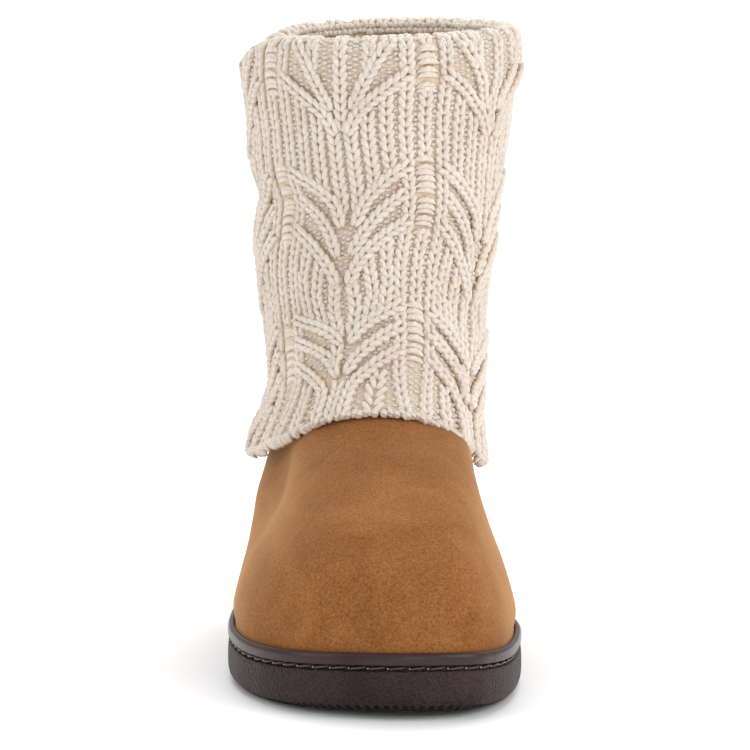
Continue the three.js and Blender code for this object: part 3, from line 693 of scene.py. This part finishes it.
def wool_finish():
    """Cream wool and acrylic yarn: soft, matt and a little hairy, with loosely twisted plies. Painted
    shade makes each strand darker and warmer on its sides, most on the face turned into the fabric: the
    UV's way round is 0.25 at the crest, outwards."""
    material, tree, shader = finish_nodes("cream_wool")
    place = tree.nodes.new("ShaderNodeTexCoord")
    drift = noise(tree, place, {"Scale": 60.0, "Detail": 3.0})
    hairs = noise(tree, place, {"Scale": 1100.0, "Detail": 3.0, "Roughness": 0.75})
    yarn = tree.nodes.new("ShaderNodeUVMap")
    yarn.uv_map = "yarn"
    twist = tree.nodes.new("ShaderNodeMapping")
    twist.inputs["Scale"].default_value = (1.257, 1.9, 0.0)
    plies = tree.nodes.new("ShaderNodeTexWave")
    plies.bands_direction = "DIAGONAL"
    set_inputs(plies, {"Scale": 1.0, "Distortion": 1.5, "Detail Scale": 2.0})
    tree.links.new(yarn.outputs["UV"], twist.inputs["Vector"])
    tree.links.new(twist.outputs["Vector"], plies.inputs["Vector"])
    tone = maths(tree, "MULTIPLY_ADD", hairs, 0.6, maths(tree, "MULTIPLY", drift, 0.4))
    creams = two_tones(tree, tone, (0.655, 0.555, 0.465), 0.3, (0.81, 0.735, 0.655), 0.7)
    way_round = tree.nodes.new("ShaderNodeSeparateXYZ")
    tree.links.new(yarn.outputs["UV"], way_round.inputs["Vector"])
    from_crest = maths(tree, "PINGPONG", maths(tree, "ADD", way_round.outputs["X"], 0.75), 0.5)
    # Painted shade: away from the crest each strand is multiplied darker and warmer, as the valleys are
    # shaded.
    flank_shade = two_tones(tree, from_crest, (1.0, 1.0, 1.0), 0.12, (0.84, 0.72, 0.56), 0.34)
    tree.links.new(mixed_colour(tree, "MULTIPLY", 1.0, creams, flank_shade), shader.inputs["Base Color"])
    relief(tree, shader, maths(tree, "ADD", plies.outputs["Fac"], hairs), 0.75, 0.00042)
    set_inputs(shader, {"Roughness": 0.95, "Specular IOR Level": 0.15})
    set_inputs(shader, {"Subsurface Weight": 0.35, "Subsurface Radius": (1.0, 0.8, 0.6)})
    set_inputs(shader, {"Subsurface Scale": 0.0014, "Sheen Weight": 0.15, "Sheen Roughness": 0.6})
    return material


wool = wool_finish()
ground_turn = 2 * math.pi * np.arange(GROUND_COLUMNS) / GROUND_COLUMNS
face_courses = np.concatenate([
    np.linspace(COURSES - 0.3, FOLD_COURSES, 64),
    np.linspace(FOLD_COURSES, -FOLD_COURSES, 9)[1:],
    np.linspace(-FOLD_COURSES, FOLD_END, 10)[1:],
])
ground_rows = [fabric(ground_turn, course, GROUND_DEPTH) for course in face_courses]
for course in np.concatenate([np.linspace(BACK_START, 30, 12), np.linspace(32, COURSES - 0.5, 10)]):
    ground_rows.append(fabric(ground_turn, course, KNIT_WALL - HEM_THINNING * ease(course, 30, 40)))
ground = ring_piece("knit_ground", np.stack(ground_rows), True, wool)
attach(ground, "root")
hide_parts("shaft")

# Knitted ropes: single columns of thick plain stitches stand out of the ground. Upright ropes run in
# fans between chevrons of slanting ropes, five repeats round the leg, and end in a cast-on edge.
REPEATS, REPEAT_WALES = 5, 26
WALE = 2 * math.pi / (REPEATS * REPEAT_WALES)
FIRST_AXIS = math.radians(-15.0)
STITCH_HEIGHT = 0.00325
ROPE_PITCH = 0.0074
# Ropes of half a repeat: their way as (wales from the chevron's axis, courses from the fold), and
# how far they stand out of the fabric, in millimetres
SLANTS = [
    ([(10.2, 5.6), (6, 8.2), (2.6, 10.6), (1.2, 12.8)], 1.1),
    ([(7.6, 1.5), (5.4, 4.2), (3.6, 7.0), (1.9, 9.8)], 0.6),
    ([(10.2, 17.0), (6, 19.2), (2.8, 21.6), (1.3, 24.4)], 1.1),
    ([(9.2, 20.6), (5.8, 22.8), (3.2, 25.2), (1.4, 28.0)], 0.7),
    ([(10.2, 23.8), (6, 26.4), (2.8, 29.0), (1.2, 31.4)], 1.1),
    ([(10.2, 34.4), (6, 36.0), (2.8, 37.4), (1.0, 38.8)], 1.0),
    ([(10.2, 37.0), (6, 38.8), (2.6, 40.6), (1.0, 42.4)], 1.0),
    ([(10.2, 39.8), (6, 41.8), (2.6, 44.0), (2.3, 47.3)], 1.0),
]
UPRIGHTS = [
    ([(0.0, -1.4), (0.0, 12.4)], 0.1), ([(4.8, -1.4), (4.5, 5.2)], 0.0), ([(7.6, -1.4), (7.5, 2.2)], 0.0),
    ([(10.0, -1.4), (10.0, 19.0), (10.0, 41.0), (11.2, 47.4)], 0.0), ([(13.0, -1.4), (13.0, 1.8)], 0.0),
    ([(13.0, 7.4), (13.0, 16.2)], 0.0), ([(13.0, 25.0), (13.0, 34.2)], 0.0),
    ([(1.4, 13.0), (1.5, 23.0)], 0.1), ([(4.2, 10.4), (4.4, 20.6)], 0.1), ([(7.0, 8.4), (7.2, 18.8)], 0.1),
    ([(1.4, 31.0), (2.1, 34.6), (1.2, 38.0)], 0.2), ([(4.2, 28.6), (5.3, 33.0), (4.0, 37.0)], 0.2),
    ([(7.0, 26.6), (7.9, 31.4), (7.0, 35.6)], 0.2), ([(6.9, 42.4), (6.7, 47.4)], 0.3),
    ([(0.0, 43.4), (0.0, 47.4)], 0.2), ([(-1.6, 39.0), (-1.8, 42.2)], 0.5),
]
# Wales of the ropes that have no mirrored twin
SINGLE_ROPES = (0.0, 13.0, -1.6)


def sway(course):
    """How far the columns stray sideways, in wales: smooth steps from one course to the next."""
    courses = (0.0, 11.8, 21.6, 30.6, 38.6, 46.5)
    strays = (-0.1, 0.0, 1.0, -0.2, 0.0, -1.5)
    steps = zip(courses[:-1], courses[1:], np.diff(strays))
    return strays[0] + sum(step * ease(course, low, high) for low, high, step in steps)


def fabric_frame(turn, course):
    """Place, direction round the leg, direction out of the fabric, from small steps either way."""
    round_leg = fabric(turn + 1e-3, course) - fabric(turn - 1e-3, course)
    down = fabric(turn, course + 0.05) - fabric(turn, course - 0.05)
    normal = np.cross(round_leg, -down)
    normal /= np.linalg.norm(normal, axis=-1, keepdims=True)
    return fabric(turn, course), round_leg * 500, normal


def rope_line(wales, courses, axis_turn):
    """Places of the stitches along a rope.

    The way is rounded by a running mean, measured in space and cut into equal steps, as near as can
    be to the height of a stitch. Each place has the direction up the rope, the direction across
    it, the direction out of the fabric and the spread of the fabric there.
    """
    dense = np.linspace(0, 1, 240)
    knots = np.linspace(0, 1, len(wales))
    half_window = 24
    window = np.ones(2 * half_window + 1) / (2 * half_window + 1)
    way = [np.interp(dense, knots, part) for part in (wales, courses)]
    padded = [np.pad(part, half_window, "reflect", reflect_type="odd") for part in way]
    wales, courses = (np.convolve(part, window, "valid") for part in padded)
    turns = axis_turn + (wales + sway(courses)) * WALE
    path = fabric(turns, courses)
    length = np.concatenate([[0], np.cumsum(np.linalg.norm(np.diff(path, axis=0), axis=1))])
    count = max(int(round(length[-1] / STITCH_HEIGHT)), 1)
    marks = (np.arange(count) + 0.5) * length[-1] / count
    mark_turns, mark_courses = (np.interp(marks, length, part) for part in (turns, courses))
    place, round_leg, normal = fabric_frame(mark_turns, mark_courses)
    ahead = np.stack([np.interp(np.clip(marks - 1e-3, 0, None), length, path[:, axis])
                      - np.interp(marks + 1e-3, length, path[:, axis]) for axis in range(3)], 1)
    ahead -= normal * (ahead * normal).sum(1, keepdims=True)
    ahead /= np.linalg.norm(ahead, axis=1, keepdims=True)
    spread = np.linalg.norm(round_leg, axis=1) * WALE * 3 / ROPE_PITCH
    return place, ahead, np.cross(ahead, normal), normal, np.clip(spread, 0.9, 1.5)


# Six rings of a stitch's leg: across from the rope's middle line, up along it, out of the fabric, radius
LEG_OVER = np.array([0.00020, 0.00050, 0.00115, 0.00180, 0.00234, 0.00258])
LEG_ALONG = np.array([-0.00275, -0.00222, -0.00082, 0.00070, 0.00192, 0.00250])
LEG_OUT = np.array([-0.00160, -0.00120, -0.00086, -0.00086, -0.00118, -0.00180])
LEG_RADII = np.array([0.00078, 0.00110, 0.00125, 0.00125, 0.00112, 0.00066])
LEG_MIDDLE = 0.0014


def plain_stitches(lines, chance):
    """Both legs of every plain stitch: centres, sideways and outward directions and radii.

    A leg leans outwards from the foot of its V to the top, swells at its middle and sinks at both
    ends, where it passes under its neighbours. It leans less at both sides of the leg, where the
    knit is pulled straight. Small seeded changes keep it from looking machined.
    """
    parts = []
    for (place, up, across, normal, spread), lift, slim in lines:
        for hand in (-1, 1):
            shake = chance.normal(0, 1, (3, len(place), 1))
            lean = 1 - 0.5 * ease(-place[:, :1], 0.010, 0.034) - 0.35 * ease(place[:, :1], 0.018, 0.042)
            over = LEG_MIDDLE + (LEG_OVER - LEG_MIDDLE) * lean
            over = hand * over * slim * spread[:, None] + shake[0] * 0.00010
            along = LEG_ALONG + shake[1] * 0.00016
            out = LEG_OUT + lift * 1e-3 + shake[2] * 0.00007
            centre = (place[:, None] + across[:, None] * over[..., None] + up[:, None] * along[..., None]
                      + normal[:, None] * out[..., None])
            side = np.cross(up * 0.86 + across * (hand * 0.5), normal)[:, None]
            side = np.broadcast_to(side / np.linalg.norm(side, axis=-1, keepdims=True), centre.shape)
            radii = LEG_RADII * (1 + chance.normal(0, 0.05, (len(place), 1)))
            parts.append((centre, side, np.broadcast_to(normal[:, None], centre.shape), radii))
    return [np.concatenate(part) for part in zip(*parts)]


SLANT_SLIM, UPRIGHT_SLIM = 0.86, 0.98
slim_ropes = [(SLANT_SLIM, *rope) for rope in SLANTS] + [(UPRIGHT_SLIM, *rope) for rope in UPRIGHTS]
chance = np.random.default_rng(7)
for repeat in range(REPEATS):
    axis_turn = FIRST_AXIS + repeat * 2 * math.pi / REPEATS
    lines = []
    for hand in (-1, 1):
        for slim, way, lift in slim_ropes:
            wales, courses = np.array(way, float).T
            if hand < 0 and wales[0] in SINGLE_ROPES:
                continue
            lines.append((rope_line(hand * wales, courses, axis_turn), lift, slim))
    ropes = tube_piece(f"knit_ropes_{repeat + 1}", *plain_stitches(lines, chance), 6, wool)
    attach(ropes, "root")

# Purl bumps: the backs of the stitches between the ropes, short bars lying round the leg. They are left
# out where a rope or a loop of a channel covers them.
BAR_T = np.linspace(-1, 1, 5)
PURL_PITCH, PURL_CLEARANCE = 0.66, 2.2
WALE_MM, COURSE_MM = 2.46, 2.9
CHANNEL_WALE, LOOP_PITCH = 13.0, 0.8


def purl_bars(name, wales, courses, depth, reach, radius, sag=0.0003):
    """Bars at the given wales and courses, at a depth in the fabric, reaching as far to both sides.

    By the square of the way from its middle, a bar sinks, moves up by the sag and thins to its ends.
    """
    place, round_leg, normal = fabric_frame((wales + sway(courses)) * WALE + FIRST_AXIS, courses)
    across = round_leg / np.linalg.norm(round_leg, axis=-1, keepdims=True)
    up = np.cross(normal, across)
    shake = chance.normal(0, 1, (3, len(place), 1))
    over = BAR_T * reach + shake[0] * 0.00015
    out = -depth - 0.0004 * BAR_T**2 + shake[2] * 0.00012
    along = sag * BAR_T**2 + shake[1] * 0.0002
    centre = (place[:, None] + across[:, None] * over[..., None] + up[:, None] * along[..., None]
              + normal[:, None] * out[..., None])
    radii = radius * np.sqrt(1.08 - BAR_T**2) * (1 + 0.1 * shake[1])
    bars = tube_piece(name, centre, np.broadcast_to(up[:, None], centre.shape),
                      np.broadcast_to(normal[:, None], centre.shape), radii, 6, wool)
    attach(bars, "root")


channel_parts = ((1.9, 7.9), (16.2, 25.4), (34.1, 41.0))
ladder_courses = np.concatenate([np.arange(first, end, LOOP_PITCH) for first, end in channel_parts])
bar_wale, bar_course = np.meshgrid(
    np.arange(0.5 - CHANNEL_WALE, CHANNEL_WALE), np.arange(-2.4, 46.6, PURL_PITCH), indexing="ij")
bar_course = bar_course + PURL_PITCH / 2 * (np.arange(REPEAT_WALES) % 2)[:, None]
bar_wale, bar_course = bar_wale.ravel(), bar_course.ravel()
clear = np.full(bar_wale.shape, 9.0)
for way, _ in SLANTS + UPRIGHTS:
    dense = np.linspace(0, 1, 60)
    knots = np.linspace(0, 1, len(way))
    line_wale, line_course = (np.interp(dense, knots, part) for part in np.array(way, float).T)
    for hand in (-1, 1):
        off_wales = (bar_wale[:, None] - hand * line_wale) * WALE_MM
        off_courses = (bar_course[:, None] - line_course) * COURSE_MM
        clear = np.minimum(clear, np.hypot(off_wales, off_courses).min(1))
off_loops = np.abs(bar_course[:, None] - ladder_courses).min(1)
in_ladder = (np.abs(bar_wale) > CHANNEL_WALE - 1.6) & (off_loops < 0.7)
seen = (clear > PURL_CLEARANCE) & ~in_ladder
first_wales = REPEAT_WALES * np.arange(REPEATS)
all_wales = (bar_wale[seen][None] + first_wales[:, None]).ravel()
all_courses = np.tile(bar_course[seen], REPEATS)
purl_bars("knit_purl", all_wales, all_courses, depth=0.0012, reach=0.0015, radius=0.00074)

# Inside of the fold: the same wool knit seen from its reverse, where the top is turned in. It is close
# rows of purl bumps, each second row half a stitch on.
inner_wales, inner_courses = np.meshgrid(
    np.arange(0.0, REPEAT_WALES * REPEATS), np.arange(-10.6, -1.4, 0.9), indexing="ij")
inner_wales = inner_wales + 0.5 * (np.arange(inner_wales.shape[1]) % 2)
purl_bars("knit_inside", inner_wales.ravel(), inner_courses.ravel(),
          depth=0.0008, reach=0.0016, radius=0.0012)

# Channels between the fans: wide loops of the same wool that bow upwards, packed over each other, a
# little irregular, and sunk deeper away from the front.
ladder_wales = np.repeat(CHANNEL_WALE + first_wales, len(ladder_courses))
ladder_spots = np.tile(ladder_courses, REPEATS) + chance.normal(0, 0.15, len(ladder_wales))
ladder_sink = 0.0009 + 0.0004 * (np.cos(ladder_wales * WALE + FIRST_AXIS) < 0.8)[:, None]
purl_bars("knit_ladders", ladder_wales, ladder_spots,
          depth=ladder_sink, reach=0.0043, radius=0.00142, sag=-0.0013)

# Cast-on edge: a row of thick loops of the same wool that wrap the hem and give it a scalloped line
# over the suede.
EDGE_LOOPS, EDGE_COURSE = 150, 47.45
loop_turn = (np.arange(EDGE_LOOPS) + chance.normal(0, 0.06, EDGE_LOOPS)) * 2 * math.pi / EDGE_LOOPS
loop_course = EDGE_COURSE + np.linspace(-0.75, 0.6, 5) + chance.normal(0, 0.13, (EDGE_LOOPS, 1))
loop_place, loop_round, loop_normal = fabric_frame(np.repeat(loop_turn[:, None], 5, 1), loop_course)
loop_side = loop_round / np.linalg.norm(loop_round, axis=-1, keepdims=True)
loop_depth = np.array([0.0026, 0.0012, 0.0006, 0.0012, 0.0026])[:, None]
loop_radii = np.array([0.0008, 0.00130, 0.00150, 0.00142, 0.0009])
knit_edge = tube_piece("knit_edge", loop_place - loop_normal * loop_depth, loop_side, loop_normal,
                       loop_radii, 8, wool)
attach(knit_edge, "root")
